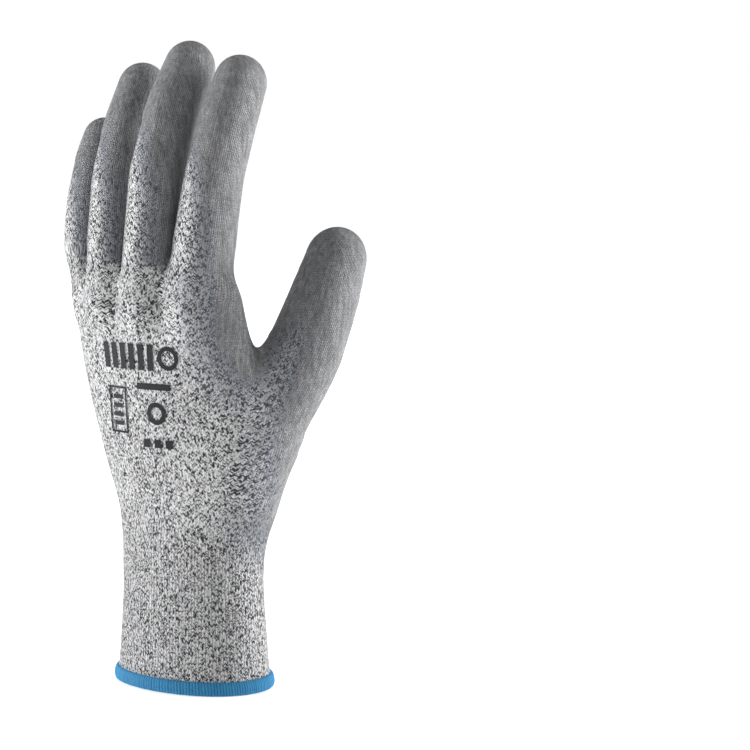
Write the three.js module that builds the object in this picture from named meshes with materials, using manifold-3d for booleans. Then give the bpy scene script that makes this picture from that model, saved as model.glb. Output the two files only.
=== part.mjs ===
// Cut resistant work glove for a left hand: a seamless knitted liner whose palm and fingers are dipped in
// polyurethane, with an elastic knitted cuff and an overlocked hem. Millimetres, +Z up along the forearm,
// +X towards the thumb, +Y out of the palm. The origin is the centre of the wrist opening, on the hem's lower face.
import * as THREE from "three";
import { mergeVertices } from "three/addons/utils/BufferGeometryUtils.js";
import Module from "manifold-3d";

const wasm = await Module();
wasm.setup();

// ---------- Driving dimensions ----------
const LINER_WALL = 1.2; // 13 gauge knit
const COAT_WALL = 0.5; // polyurethane dip
const LAYER_GAP = 0.3; // between two layers, and between two pieces end to end
const FINGER_SIDES = 12;
const HAND_SIDES = 28;

const HEM_HEIGHT = 5.5;
const HEM_BULGE = 1.5; // how far the hem stands proud of the cuff
const CUFF_TOP = 50; // where the cuff meets the wrist sleeve
const PALM_BOTTOM = 72; // the wrist bends midway between the two
const PALM_TOP = 157; // under the webs between the fingers

// Cross-sections of the hand, from the hem up: height, centre, half-width across, half-depth front to back.
const HAND_SECTIONS = [
  { z: 0.0, x: 0.0, y: 0.0, across: 34.0, deep: 23.5 },
  { z: 12.0, x: 0.0, y: 0.0, across: 32.5, deep: 22.5 },
  { z: 34.0, x: 0.0, y: 0.0, across: 31.0, deep: 21.5 },
  { z: 55.0, x: 0.0, y: -0.5, across: 30.5, deep: 20.5 },
  { z: 70.0, x: 0.6, y: -1.2, across: 33.5, deep: 20.0 },
  { z: 85.0, x: -1.2, y: -3.5, across: 36.0, deep: 18.6 },
  { z: 105.0, x: -4.5, y: -6.0, across: 38.5, deep: 17.6 },
  { z: 125.0, x: -7.3, y: -8.5, across: 40.3, deep: 16.6 },
  { z: 143.0, x: -9.2, y: -11.5, across: 41.0, deep: 15.2 },
  { z: 158.0, x: -11.6, y: -14.0, across: 39.6, deep: 12.5 },
];

// The knit-to-coating edge: the palm's coating lies palmward of this depth, given at two heights.
const COAT_EDGE = { lowZ: 60, lowY: -5, highZ: 160, highY: -16 };

// Each digit: base hinge, sideways splay, lengths between its hinges and on to the tip's centre, bend at
// rest at each hinge, the radius at the base, at each hinge after it and at the tip, front to back, and how
// far the knit that bends reaches each way from each hinge.
const FINGERS = [
  {
    name: "index",
    hinge: [18.6, -13.6, 172],
    splay: 4.0,
    lengths: [24.5, 22.2, 15.6],
    bends: [8, 8, 10],
    radii: [11.1, 10.9, 10.6, 10.1],
    reach: [8, 8, 6],
  },
  {
    name: "middle",
    hinge: [-2.6, -20.0, 173],
    splay: 1.3,
    lengths: [25.5, 24.7, 18.3],
    bends: [8, 12, 12],
    radii: [11.0, 10.8, 10.5, 10.0],
    reach: [8, 8.6, 6],
  },
  {
    name: "ring",
    hinge: [-24.0, -17.2, 171],
    splay: -1.6,
    lengths: [23.5, 22, 16.5],
    bends: [8, 11, 11],
    radii: [10.7, 10.5, 10.2, 9.7],
    reach: [8, 8, 6],
  },
  {
    name: "little",
    hinge: [-44.0, -10.2, 168],
    splay: -3.4,
    lengths: [18, 15, 10.6],
    bends: [9, 10, 9],
    radii: [10.0, 9.7, 9.3, 8.8],
    reach: [7.2, 7.2, 5.2],
  },
];
const THUMB = {
  name: "thumb",
  hinge: [42.2, 16.0, 129],
  points: [0.22, 0.25, 0.943], // the way the thumb points
  folds: [-0.85, 0.4, 0], // the way its tip moves as it bends
  lengths: [20, 17.5],
  bends: [0, 8],
  radii: [14.2, 13.3, 11.9],
  reach: [7.5, 7],
};
const ACROSS_SHARE = 0.88; // a finger's width against its depth
const SEGMENT_NAMES = { 3: ["base", "middle", "tip"], 2: ["base", "tip"] };
const TIP_ANGLES = [0, 30, 58]; // where a fingertip's dome has its rings, in degrees up from its equator
const COAT_EDGE_ON_FINGER = -3; // the dip wraps round a finger to this depth

const FINGER_ROOT_DEPTH = 30; // how deep in the palm the knit of a finger starts
const THUMB_ROOT_DEPTH = 24;
const THUMB_PAD = [
  { at: [9, 0, 58], across: 18, deep: 16 },
  { at: [17, 2.5, 80], across: 20.5, deep: 17.5 },
  { at: [25, 6, 95], across: 20.5, deep: 17 },
  { at: [32.5, 9.8, 108], across: 17.5, deep: 15.5 },
  { at: [36.8, 12.6, 116], across: 15.0, deep: 14.0 },
];

const HEM_FOOT = 1.2; // thickness of the hem under the cuff's edge
const HEM_LIP = 1.0; // the hem's thickness inside the cuff

const PRINT = { left: -22, right: 12, bottom: 96, top: 134 }; // the printed panel on the back
const INK_WALL = 0.3;

const KNIT = { color: 0xb9bbbd, roughness: 0.92, metalness: 0 };
const COAT = { color: 0x77797b, roughness: 0.6, metalness: 0 };
const HEM = { color: 0x1f7fc4, roughness: 0.85, metalness: 0 };
const INK = { color: 0x1c1c1e, roughness: 0.7, metalness: 0 };

const radians = THREE.MathUtils.degToRad;

// ---------- Solids ----------
function toSolid(geometry) {
  const bare = geometry.index ? geometry.toNonIndexed() : geometry.clone();
  bare.deleteAttribute("normal");
  bare.deleteAttribute("uv");
  const merged = mergeVertices(bare, 1e-4);
  const mesh = new wasm.Mesh({
    numProp: 3,
    vertProperties: new Float32Array(merged.attributes.position.array),
    triVerts: new Uint32Array(merged.index.array),
  });
  return new wasm.Manifold(mesh);
}

function toGeometry(solid) {
  const mesh = solid.getMesh();
  const positions = new Float32Array(mesh.numVert * 3);
  for (let i = 0; i < mesh.numVert; i++) {
    const from = i * mesh.numProp;
    positions.set(mesh.vertProperties.subarray(from, from + 3), i * 3);
  }
  const geometry = new THREE.BufferGeometry();
  geometry.setAttribute("position", new THREE.BufferAttribute(positions, 3));
  geometry.setIndex(new THREE.BufferAttribute(new Uint32Array(mesh.triVerts), 1));
  geometry.computeVertexNormals();
  return geometry;
}

// A ring of points: an ellipse about a centre, in the plane of two unit vectors.
function ring(centre, acrossAxis, deepAxis, across, deep, sides) {
  const points = [];
  for (let i = 0; i < sides; i++) {
    const turn = (2 * Math.PI * i) / sides;
    points.push(
      centre
        .clone()
        .addScaledVector(acrossAxis, across * Math.cos(turn))
        .addScaledVector(deepAxis, deep * Math.sin(turn)),
    );
  }
  return points;
}

function geometryOf(points, faces) {
  const geometry = new THREE.BufferGeometry();
  const positions = new Float32Array(points.flatMap((p) => p.toArray()));
  geometry.setAttribute("position", new THREE.BufferAttribute(positions, 3));
  geometry.setIndex(faces.flat());
  geometry.computeVertexNormals();
  return geometry;
}

// Two triangles for each side between two rings of a stack, facing out, or in for a stack that lines a hollow.
function bandFaces(lower, upper, sides, facingIn) {
  const faces = [];
  for (let i = 0; i < sides; i++) {
    const next = (i + 1) % sides;
    const quad = [lower + i, lower + next, upper + next, upper + i];
    if (facingIn) quad.reverse();
    faces.push([quad[0], quad[1], quad[2]], [quad[0], quad[2], quad[3]]);
  }
  return faces;
}

// A solid through a stack of rings, with flat ends.
function loft(rings) {
  const sides = rings[0].length;
  const points = rings.flat();
  const faces = [];
  for (let k = 0; k + 1 < rings.length; k++) {
    faces.push(...bandFaces(k * sides, (k + 1) * sides, sides, false));
  }
  const last = (rings.length - 1) * sides;
  for (let i = 1; i + 1 < sides; i++) {
    faces.push([0, i + 1, i], [last, last + i, last + i + 1]);
  }
  return geometryOf(points, faces);
}

// A tube with a wall: the outer stack of rings, the inner one, and a flat rim at each end.
function shell(outer, inner) {
  const sides = outer[0].length;
  const inside = outer.length * sides;
  const faces = [];
  for (let k = 0; k + 1 < outer.length; k++) {
    faces.push(...bandFaces(k * sides, (k + 1) * sides, sides, false));
    faces.push(...bandFaces(inside + k * sides, inside + (k + 1) * sides, sides, true));
  }
  const top = (outer.length - 1) * sides;
  faces.push(...bandFaces(0, inside, sides, true));
  faces.push(...bandFaces(top, inside + top, sides, false));
  return geometryOf([...outer.flat(), ...inner.flat()], faces);
}

function named(name, geometry, finish) {
  const mesh = new THREE.Mesh(geometry, new THREE.MeshStandardMaterial(finish));
  mesh.name = name;
  return mesh;
}

// ---------- Hand sections ----------
const X_AXIS = new THREE.Vector3(1, 0, 0);
const Y_AXIS = new THREE.Vector3(0, 1, 0);

// The hand's section at a height, between the stated ones.
function sectionAt(z) {
  const above = HAND_SECTIONS.findIndex((s) => s.z >= z);
  const high = HAND_SECTIONS[Math.max(above, 1)];
  const low = HAND_SECTIONS[Math.max(above, 1) - 1];
  const share = (z - low.z) / (high.z - low.z);
  const between = (key) => THREE.MathUtils.lerp(low[key], high[key], share);
  return { x: between("x"), y: between("y"), across: between("across"), deep: between("deep") };
}

function handRing(z, offset) {
  const s = sectionAt(z);
  const centre = new THREE.Vector3(s.x, s.y, z);
  return ring(centre, X_AXIS, Y_AXIS, s.across + offset, s.deep + offset, HAND_SIDES);
}

function handRings(bottom, top, offset) {
  const between = HAND_SECTIONS.map((s) => s.z).filter((z) => z > bottom + 1 && z < top - 1);
  return [bottom, ...between, top].map((z) => handRing(z, offset));
}

function handTube(bottom, top) {
  return shell(handRings(bottom, top, 0), handRings(bottom, top, -LINER_WALL));
}

// ---------- Digits ----------
// The frame in which a digit is built: its base hinge at the origin, +Z along the knit below the hinge,
// +Y the way that it folds.
function rootFrame(digit) {
  const frame = new THREE.Group();
  frame.name = `${digit.name}_root_frame`;
  frame.position.set(...digit.hinge);
  if (digit.points) {
    const along = new THREE.Vector3(...digit.points).normalize();
    const fold = new THREE.Vector3(...digit.folds);
    fold.addScaledVector(along, -fold.dot(along)).normalize();
    const side = new THREE.Vector3().crossVectors(fold, along);
    const basis = new THREE.Matrix4().makeBasis(side, fold, along);
    frame.quaternion.setFromRotationMatrix(basis);
  } else {
    frame.rotation.y = radians(digit.splay);
  }
  frame.updateMatrix();
  return frame;
}

// A ring across a digit, at a distance from a hinge, past a bend towards +Y there.
function digitRing(distance, bend, radius) {
  const centre = new THREE.Vector3(0, distance * Math.sin(bend), distance * Math.cos(bend));
  const deepAxis = new THREE.Vector3(0, Math.cos(bend), -Math.sin(bend));
  return ring(centre, X_AXIS, deepAxis, radius * ACROSS_SHARE, radius, FINGER_SIDES);
}

// The knit that bends at a hinge, in the frame of the piece below it, with that frame's origin at the hinge.
function bendSleeve(bend, reach, below, at, above) {
  const rings = (offset) => [
    digitRing(-reach + LAYER_GAP / 2, 0, below + offset),
    digitRing(0, bend / 2, at + offset),
    digitRing(reach - LAYER_GAP / 2, bend, above + offset),
  ];
  return shell(rings(0), rings(-LINER_WALL));
}

function stallTube(from, to, radiusFrom, radiusTo, offset, wall) {
  const rings = (inset) => [
    digitRing(from, 0, radiusFrom + offset - inset),
    digitRing(to, 0, radiusTo + offset - inset),
  ];
  return shell(rings(0), rings(wall));
}

// A closed fingertip with a hollow: a surface of revolution whose profile goes down the hollow, along the
// rim and up the outside.
function fingertip(from, tipCentre, radiusFrom, radiusTip, offset, wall) {
  const side = (grow) => [
    new THREE.Vector2(radiusFrom + grow, from),
    ...TIP_ANGLES.map((angle) => {
      const radius = radiusTip + grow;
      return new THREE.Vector2(
        radius * Math.cos(radians(angle)),
        tipCentre + radius * Math.sin(radians(angle)),
      );
    }),
    new THREE.Vector2(0, tipCentre + radiusTip + grow),
  ];
  const profile = [...side(offset - wall).reverse(), ...side(offset)];
  const made = new THREE.LatheGeometry(profile, FINGER_SIDES);
  return made.rotateX(Math.PI / 2).scale(ACROSS_SHARE, 1, 1);
}

// Keeps the palmward part of a coating tube: what lies on the +Y side of a plane at that depth.
function palmwardOf(tube, depth, from, to) {
  const width = 60;
  const cutter = new THREE.BoxGeometry(width, width, to - from + 2);
  cutter.translate(0, depth + width / 2, (from + to) / 2);
  return toGeometry(toSolid(tube).intersect(toSolid(cutter)));
}

// Builds a digit's pieces below its root frame, each bending piece in a group at its hinge.
function addDigit(digit, parent) {
  const count = digit.lengths.length;
  const parts = SEGMENT_NAMES[count];
  let frame = rootFrame(digit);
  parent.add(frame);
  for (let k = 0; k < count; k++) {
    const bend = radians(digit.bends[k]);
    const reach = digit.reach[k];
    const below = k === 0 ? digit.radii[0] : THREE.MathUtils.lerp(digit.radii[k], digit.radii[k - 1], 0.3);
    const above = THREE.MathUtils.lerp(digit.radii[k], digit.radii[k + 1], 0.3);
    const sleeve = bendSleeve(bend, reach, below, digit.radii[k], above);
    frame.add(named(`${digit.name}_${parts[k]}_bend_sleeve`, sleeve, KNIT));

    const segment = new THREE.Group();
    segment.name = `${digit.name}_${parts[k]}_hinge`;
    segment.rotation.x = -bend;
    frame.add(segment);

    const from = reach + LAYER_GAP / 2;
    const stall = `${digit.name}_${parts[k]}_stall`;
    const coating = `${digit.name}_${parts[k]}_coating`;
    if (k === count - 1) {
      const tip = (offset, wall) =>
        fingertip(from, digit.lengths[k], above, digit.radii[k + 1], offset, wall);
      segment.add(named(stall, tip(0, LINER_WALL), KNIT));
      segment.add(named(coating, tip(LAYER_GAP + COAT_WALL, COAT_WALL), COAT));
    } else {
      const to = digit.lengths[k] - digit.reach[k + 1] - LAYER_GAP / 2;
      const far = THREE.MathUtils.lerp(digit.radii[k + 1], digit.radii[k], 0.3);
      const tube = (offset, wall) => stallTube(from, to, above, far, offset, wall);
      segment.add(named(stall, tube(0, LINER_WALL), KNIT));
      const film = tube(LAYER_GAP + COAT_WALL, COAT_WALL);
      segment.add(named(coating, palmwardOf(film, COAT_EDGE_ON_FINGER, from, to), COAT));
      const onward = new THREE.Group();
      onward.position.z = digit.lengths[k];
      segment.add(onward);
      frame = onward;
    }
  }
}

// ---------- Palm ----------
// A digit's root in the palm, from deep in the hand to just below the sleeve at its base hinge.
function rootTube(digit, offset, overrun) {
  const frame = rootFrame(digit);
  const end = -digit.reach[0] - LAYER_GAP / 2 + overrun;
  const start = (digit.points ? -THUMB_ROOT_DEPTH : -FINGER_ROOT_DEPTH) - offset;
  const rings = [start, end].map((z) => digitRing(z, 0, digit.radii[0] + offset));
  return toSolid(loft(rings).applyMatrix4(frame.matrix));
}

// The pad of muscle at the base of the thumb, as a loft between round sections.
function thumbPad(offset) {
  const rings = THUMB_PAD.map((s, k) => {
    const centre = new THREE.Vector3(...s.at);
    if (k === THUMB_PAD.length - 1) centre.z += offset;
    return ring(centre, X_AXIS, Y_AXIS, s.across + offset, s.deep + offset, 16);
  });
  return toSolid(loft(rings));
}

// The whole hand as one solid, grown by an offset. overrun carries its open ends past the rims.
function palmSolid(offset, overrun) {
  const body = toSolid(loft(handRings(PALM_BOTTOM - overrun, PALM_TOP + offset, offset)));
  const roots = [...FINGERS, THUMB].map((digit) => rootTube(digit, offset, overrun));
  const all = [...roots, thumbPad(offset)].reduce((sum, next) => sum.add(next), body);
  const belowBottom = new THREE.BoxGeometry(300, 300, 100);
  belowBottom.translate(0, 0, PALM_BOTTOM - overrun - 50);
  return all.subtract(toSolid(belowBottom));
}

// Where the palm's coating lies, seen from the palm: an outline across and up, swept front to back.
function coatingReach() {
  const outline = new THREE.Shape();
  outline.moveTo(70, PALM_BOTTOM + 1);
  outline.lineTo(0, PALM_BOTTOM + 1);
  outline.quadraticCurveTo(-24, 74, -36, 106);
  outline.lineTo(-60, 125);
  outline.lineTo(-60, 200);
  outline.lineTo(70, 200);
  const swept = new THREE.ExtrudeGeometry(outline, { depth: 120, bevelEnabled: false, curveSegments: 5 });
  swept.rotateX(Math.PI / 2);
  swept.translate(0, 120, 0);
  // The sweep now runs along +Y from 0. Lean its near end along the edge between coating and bare knit.
  const slope = (COAT_EDGE.highY - COAT_EDGE.lowY) / (COAT_EDGE.highZ - COAT_EDGE.lowZ);
  const lean = new THREE.Matrix4().makeShear(0, 0, 0, 0, 0, slope);
  lean.setPosition(0, COAT_EDGE.lowY - slope * COAT_EDGE.lowZ, 0);
  return toSolid(swept.applyMatrix4(lean));
}

// A rounded panel on the back of the hand, swept front to back through the knit's outer face.
function printReach() {
  const outline = new THREE.Shape();
  const { left, right, bottom, top } = PRINT;
  outline.moveTo(left, bottom);
  outline.lineTo(right, bottom);
  outline.lineTo(right, top);
  outline.lineTo(left, top);
  const swept = new THREE.ExtrudeGeometry(outline, { depth: 60, bevelEnabled: false });
  swept.rotateX(Math.PI / 2);
  swept.translate(0, -8, 0);
  return toSolid(swept);
}

// ---------- Assembly ----------
const root = new THREE.Group();
root.name = "cut_resistant_glove";

// The hem wraps the cuff's raw edge: an outer lip, a foot under the edge and an inner lip.
function hemProfileRings() {
  const z = (height, offset) => handRing(height, offset);
  const inside = -LINER_WALL - LAYER_GAP;
  return [
    z(0, HEM_BULGE * 0.4),
    z(HEM_HEIGHT * 0.35, HEM_BULGE),
    z(HEM_HEIGHT, HEM_BULGE * 0.6),
    z(HEM_HEIGHT, LAYER_GAP),
    z(HEM_FOOT, LAYER_GAP),
    z(HEM_FOOT, inside),
    z(HEM_HEIGHT * 0.8, inside),
    z(HEM_HEIGHT * 0.8, inside - HEM_LIP),
    z(0, inside - HEM_LIP * 0.5),
  ];
}

function closedRing(rings) {
  const sides = rings[0].length;
  const faces = [];
  rings.forEach((_, k) => {
    faces.push(...bandFaces(k * sides, ((k + 1) % rings.length) * sides, sides, false));
  });
  return geometryOf(rings.flat(), faces);
}

root.add(named("overlocked_hem", closedRing(hemProfileRings()), HEM));
root.add(named("knitted_cuff", handTube(HEM_FOOT + LAYER_GAP, CUFF_TOP), KNIT));
root.add(
  named("wrist_bend_sleeve", handTube(CUFF_TOP + LAYER_GAP, PALM_BOTTOM - LAYER_GAP), KNIT),
);

const hand = new THREE.Group();
hand.name = "wrist_hinge";
root.add(hand);

const linerSolid = palmSolid(0, 0).subtract(palmSolid(-LINER_WALL, 2));
hand.add(named("palm_and_back_liner", toGeometry(linerSolid), KNIT));

const filmOutside = palmSolid(LAYER_GAP + COAT_WALL, 0);
const filmInside = palmSolid(LAYER_GAP, 2);
const film = filmOutside.subtract(filmInside).intersect(coatingReach());
hand.add(named("palm_coating", toGeometry(film), COAT));

const inkOutside = palmSolid(LAYER_GAP + INK_WALL, 0);
const ink = inkOutside.subtract(filmInside).intersect(printReach());
hand.add(named("back_print", toGeometry(ink), INK));

for (const digit of [...FINGERS, THUMB]) addDigit(digit, hand);

export default root;
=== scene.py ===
import bpy
import numpy as np
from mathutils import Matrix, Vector


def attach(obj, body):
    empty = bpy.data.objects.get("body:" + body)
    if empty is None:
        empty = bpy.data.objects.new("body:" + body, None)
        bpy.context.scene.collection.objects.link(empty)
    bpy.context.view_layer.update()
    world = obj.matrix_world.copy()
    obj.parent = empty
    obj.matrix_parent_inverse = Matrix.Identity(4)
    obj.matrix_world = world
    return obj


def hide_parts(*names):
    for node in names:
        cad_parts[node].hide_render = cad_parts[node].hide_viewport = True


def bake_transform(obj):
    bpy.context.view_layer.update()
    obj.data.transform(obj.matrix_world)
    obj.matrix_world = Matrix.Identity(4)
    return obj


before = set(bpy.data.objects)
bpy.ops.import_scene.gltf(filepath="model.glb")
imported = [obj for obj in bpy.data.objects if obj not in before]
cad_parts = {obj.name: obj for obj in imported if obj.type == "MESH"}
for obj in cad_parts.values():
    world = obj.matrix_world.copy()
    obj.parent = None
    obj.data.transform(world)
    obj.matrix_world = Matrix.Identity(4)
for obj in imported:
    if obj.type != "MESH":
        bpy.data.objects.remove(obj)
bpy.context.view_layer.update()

# Sizes are in millimetres until a mesh is made. Z runs up the forearm and hand,
# X points to the thumb side and Y points out of the palm.
MM = 0.001
GRID = 0.9  # spacing of the field that the skin is found in
GRID_LOW = np.array([-60.0, -36.0, -1.8])
GRID_HIGH = np.array([64.0, 44.0, 250.0])
AT_ONCE = 400000  # grid points measured at a time

WALES_ROUND_HAND = 128
WALES_ROUND_FINGER = 44
WALES_ROUND_THUMB = 60
COURSE = 0.95  # height of a row of stitches
FINGER_SQUASH = 0.92  # a finger's width against its depth
THUMB_SQUASH = 0.9
FINGER_BLEND = 5.5  # how widely the fingers run into the hand
THUMB_BLEND = 13
LIFT = 0.25  # how far the dip stands off the knit
LINING = 1.3  # how far inside the skin the lining lies
LINING_BOTTOM = 1.8
LINING_TOP = 108
KNIT_BOTTOM = 1.6  # the knit's lower edge, inside the hem
PRINT_LIFT = 0.3
PRINT_STEP = 0.5  # spacing of the places on a printed bar

HEM_HEIGHT = 5.5
HEM_TURNS = 164
HEM_STEPS = 9  # places across each turn of the thread
HEM_LOOP = 30  # places round the hem's section

FINGERS_FROM = 150  # no finger's own knit reaches below this height

# A stretch of a digit is cut half way to the next hinge.
BASE_EXTRA = 3.4  # a base is cut this far past half way

YARN_TONE = 0.66
FLECK_AT = 0.66  # a higher value gives more black flecks
COAT_TONE = 0.2
FLOOR_GLOW = 0.4

# Sections of the hand and cuff: height, centre x and y, half width, half depth.
HAND_SECTIONS = np.array([
    [-10, 0, 0, 35, 24.2],
    [0, 0, 0, 34, 23.5],
    [12, 0, 0, 32.5, 22.5],
    [34, 0, 0, 31, 21.5],
    [55, 0, -0.5, 30.5, 20.5],
    [70, 0.6, -1.2, 33.5, 20],
    [85, -1.2, -3.5, 36, 18.6],
    [105, -4.5, -6, 38.5, 17.6],
    [125, -4.5, -8.5, 41.7, 16.6],
    [143, -5.9, -11.5, 40.9, 15.2],
    [158, -6.7, -14, 40.4, 12.5],
    [180, -9.5, -15.5, 37, 11.5],
])

# Each finger's root reaches down into the hand and is narrower there. The dip caps the
# back of a finger down to apex, and leaves knit from knit_to degrees round its back.
DIGITS = {
    "index": dict(
        hinge=(18.6, -13.6, 172), across=(0.9976, 0, -0.0698), lengths=(24.5, 22.2, 15.6),
        angles=(8, 16, 26), radii=(12.5, 11.4, 11.4, 10.4), root=26,
        narrower=1.2, apex=210, knit_to=-60),
    "middle": dict(
        hinge=(-2.6, -20, 173), across=(0.9997, 0, -0.0227), lengths=(25.5, 24.7, 18.3),
        angles=(8, 20, 32), radii=(11.0, 10.8, 10.5, 10.0), root=26,
        narrower=1.2, apex=217, knit_to=-60),
    "ring": dict(
        hinge=(-24, -17.2, 171), across=(0.9996, 0, 0.0279), lengths=(23.5, 22, 16.5),
        angles=(8, 19, 30), radii=(10.7, 10.5, 10.2, 9.7), root=24,
        narrower=1.2, apex=212, knit_to=-60),
    "little": dict(
        hinge=(-44, -10.2, 168), across=(0.9982, 0, 0.0593), lengths=(18, 15, 10.6),
        angles=(9, 19, 28), radii=(10.0, 9.7, 9.3, 8.8), root=24,
        narrower=7.0, apex=201, knit_to=-85),
}
THUMB_LINE = np.array([
    [9, 0, 58], [17, 2.5, 80], [25, 6, 95], [32.5, 9.8, 108], [36.8, 12.6, 116],
    [42.2, 16, 129], [47.2, 21, 147.86], [49.3, 26.43, 164.4],
])
THUMB_LENGTHS = (20, 17.5)
THUMB_RADII = np.array([17, 20, 19.6, 15.6, 15.3, 15.7, 14.6, 12.4])
THUMB_ACROSS = np.array([0.4032, 0.8569, -0.3212])
THUMB_ALONG = np.array([0.22, 0.25, 0.943])
THUMB_LEAN = (0.233, 0.265)  # how far it goes in x and y for each millimetre of height
THUMB_HINGE = np.array([42.2, 16, 129.0])
THUMB_HINGE_AT = 5  # its place in the thumb's line
THUMB_TIP_HINGE = np.array([46.6, 21, 147.86])
THUMB_TIP_ALONG = np.array([0.0942, 0.3103, 0.946])


# ---------------------------------------------------------------- small tools

def unit(v):
    v = np.asarray(v, float)
    return v / np.linalg.norm(v)


def smooth_min(a, b, k):
    """The smaller of two distances, rounded where they are alike."""
    h = np.clip(0.5 + 0.5 * (b - a) / k, 0, 1)
    return b * (1 - h) + a * h - k * h * (1 - h)


def smooth_step(x, a, b):
    t = np.clip((x - a) / (b - a), 0, 1)
    return t * t * (3 - 2 * t)


def eased(table, step=0.5, width=9.0):
    """A table of sections resampled finely and rounded off along its first column."""
    x = np.arange(table[0, 0], table[-1, 0] + step, step)
    cols = [np.interp(x, table[:, 0], table[:, k]) for k in range(1, table.shape[1])]
    n = int(width / step)
    kernel = np.hanning(2 * n + 1)
    kernel /= kernel.sum()
    out = [np.convolve(np.pad(c, n, mode="edge"), kernel, mode="valid") for c in cols]
    return x, out


SECTION_Z, SECTION_COLUMNS = eased(HAND_SECTIONS)


def section(z):
    """Centre x and y, half width and half depth of the hand at a height."""
    return [np.interp(z, SECTION_Z, c) for c in SECTION_COLUMNS]


# ---------------------------------------------------------------- finger centre lines

def finger_frames(digit):
    """Joint centres, directions and palmward directions of a finger's segments."""
    across = unit(digit["across"])
    up = unit(np.cross(across, (0, 1, 0)))
    point = np.array(digit["hinge"], float)
    joints = []
    for length, angle in zip(digit["lengths"], np.radians(digit["angles"])):
        along = unit(up * np.cos(angle) + np.array([0, 1, 0]) * np.sin(angle))
        joints.append((point.copy(), along))
        point = point + along * length
    return across, joints, point


def centre_line(points, radii, count):
    """A smooth line through the points with a radius at each of its places."""
    points, radii = np.asarray(points, float), np.asarray(radii, float)
    chord = np.concatenate([[0], np.cumsum(np.linalg.norm(np.diff(points, axis=0), axis=1))])
    fine = np.linspace(0, chord[-1], count * 8)
    raw = np.stack([np.interp(fine, chord, points[:, k]) for k in range(3)]
                   + [np.interp(fine, chord, radii)], 1)
    n = max(3, int(7.0 / (fine[1] - fine[0])))
    kernel = np.hanning(2 * n + 1)
    kernel /= kernel.sum()
    first, last = raw[:1], raw[-1:]
    head = 2 * first - raw[1:n + 1][::-1]
    tail = 2 * last - raw[-n - 1:-1][::-1]
    wide = np.concatenate([head, raw, tail])
    smooth = np.stack([np.convolve(wide[:, k], kernel, mode="valid") for k in range(4)], 1)
    keep = np.linspace(0, len(smooth) - 1, count).astype(int)
    return smooth[keep, :3], smooth[keep, 3], fine[keep]


class Digit:
    """A finger or the thumb: a round-ended tube along a smooth line."""

    FIELD_REACH = 16.0  # the field is measured this far outside the tube

    def __init__(self, points, radii, across, squash, hinge_at):
        self.across, self.squash = unit(across), squash
        self.points, self.radii, self.at = centre_line(points, radii, 18)
        self.at = self.at - hinge_at

    def box(self):
        reach = self.radii.max() + self.FIELD_REACH
        return self.points.min(0) - reach, self.points.max(0) + reach

    def measure(self, p):
        """Distance to the skin, place along the line from the first hinge, and offset from it."""
        best = np.full(p.shape[0], 1e9)
        along = np.zeros(p.shape[0])
        centre = np.zeros_like(p)
        stretch = 1 / self.squash - 1
        for i in range(len(self.points) - 1):
            a, b = self.points[i], self.points[i + 1]
            d = b - a
            rel = p - a
            rel = rel + (rel @ self.across)[:, None] * self.across * stretch
            t = np.clip(rel @ d / (d @ d), 0, 1)
            gap = np.linalg.norm(rel - t[:, None] * d, axis=1)
            gap -= self.radii[i] + (self.radii[i + 1] - self.radii[i]) * t
            nearer = gap < best
            best = np.where(nearer, gap, best)
            along = np.where(nearer, self.at[i] + (self.at[i + 1] - self.at[i]) * t, along)
            centre[nearer] = (a + t[:, None] * d)[nearer]
        return best * 0.95, along, p - centre


def make_digits():
    made = {}
    for name, spec in DIGITS.items():
        across, joints, end = finger_frames(spec)
        first, along = joints[0]
        points = [first - along * spec["root"]] + [j[0] for j in joints] + [end]
        radii = [spec["radii"][0] - spec["narrower"]] + list(spec["radii"])
        made[name] = Digit(points, radii, across, FINGER_SQUASH, spec["root"])
        made[name].joints = joints
    steps = np.linalg.norm(np.diff(THUMB_LINE, axis=0), axis=1)
    made["thumb"] = Digit(
        THUMB_LINE, THUMB_RADII, THUMB_ACROSS, THUMB_SQUASH, steps[:THUMB_HINGE_AT].sum())
    made["thumb"].joints = [(THUMB_HINGE, unit(THUMB_ALONG)),
                            (THUMB_TIP_HINGE, unit(THUMB_TIP_ALONG))]
    return made


digits = make_digits()


# ---------------------------------------------------------------- the skin as a field

def hand_gap(p):
    """Signed distance to the palm and cuff, closed under the fingers."""
    x, y, z = p[:, 0], p[:, 1], p[:, 2]
    cx, cy, a, b = section(z)
    u, v = (x - cx) / a, (y - cy) / b
    k0 = np.sqrt(u * u + v * v)
    k1 = np.sqrt((u / a) ** 2 + (v / b) ** 2)
    side = k0 * (k0 - 1) / np.maximum(k1, 1e-6)
    # The height where the hand is closed, across it.
    top = np.interp(x, [-56, -44, -34, -24, -14, -3, 7, 18, 30, 38],
                    [152, 156, 158.5, 160, 161, 162, 162.5, 163, 160, 157])
    return -smooth_min(-side, -(z - top) * 0.92, 9)


def ripple(p, seed, reach, size):
    """Slow unevenness of a soft skin."""
    rng = np.random.default_rng(seed)
    total = np.zeros(len(p))
    for _ in range(9):
        way = unit(rng.normal(size=3)) * rng.uniform(0.7, 1.5) / reach * 2 * np.pi
        total += np.sin(p @ way + rng.uniform(0, 2 * np.pi))
    return total * size / 3


# Creases of the palm: their lines in x and z, depth and half width.
PALM_CREASES = (
    (((22, 126), (12, 112), (6, 101), (2.6, 82)), 1.5, 3.2),
    (((8, 104), (6, 92), (5, 84)), 0.8, 1.3),
    (((2, 106), (1, 94), (2, 86)), 0.8, 1.3),
    (((-8, 157), (-20, 153), (-31, 151)), 0.9, 1.8),
)
# Folds at the thumb's base: height at the crotch, fall per degree round the thumb, depth.
THUMB_FOLDS = ((140, 0.05, 1.9), (134, 0.1, 1.5))


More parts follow.
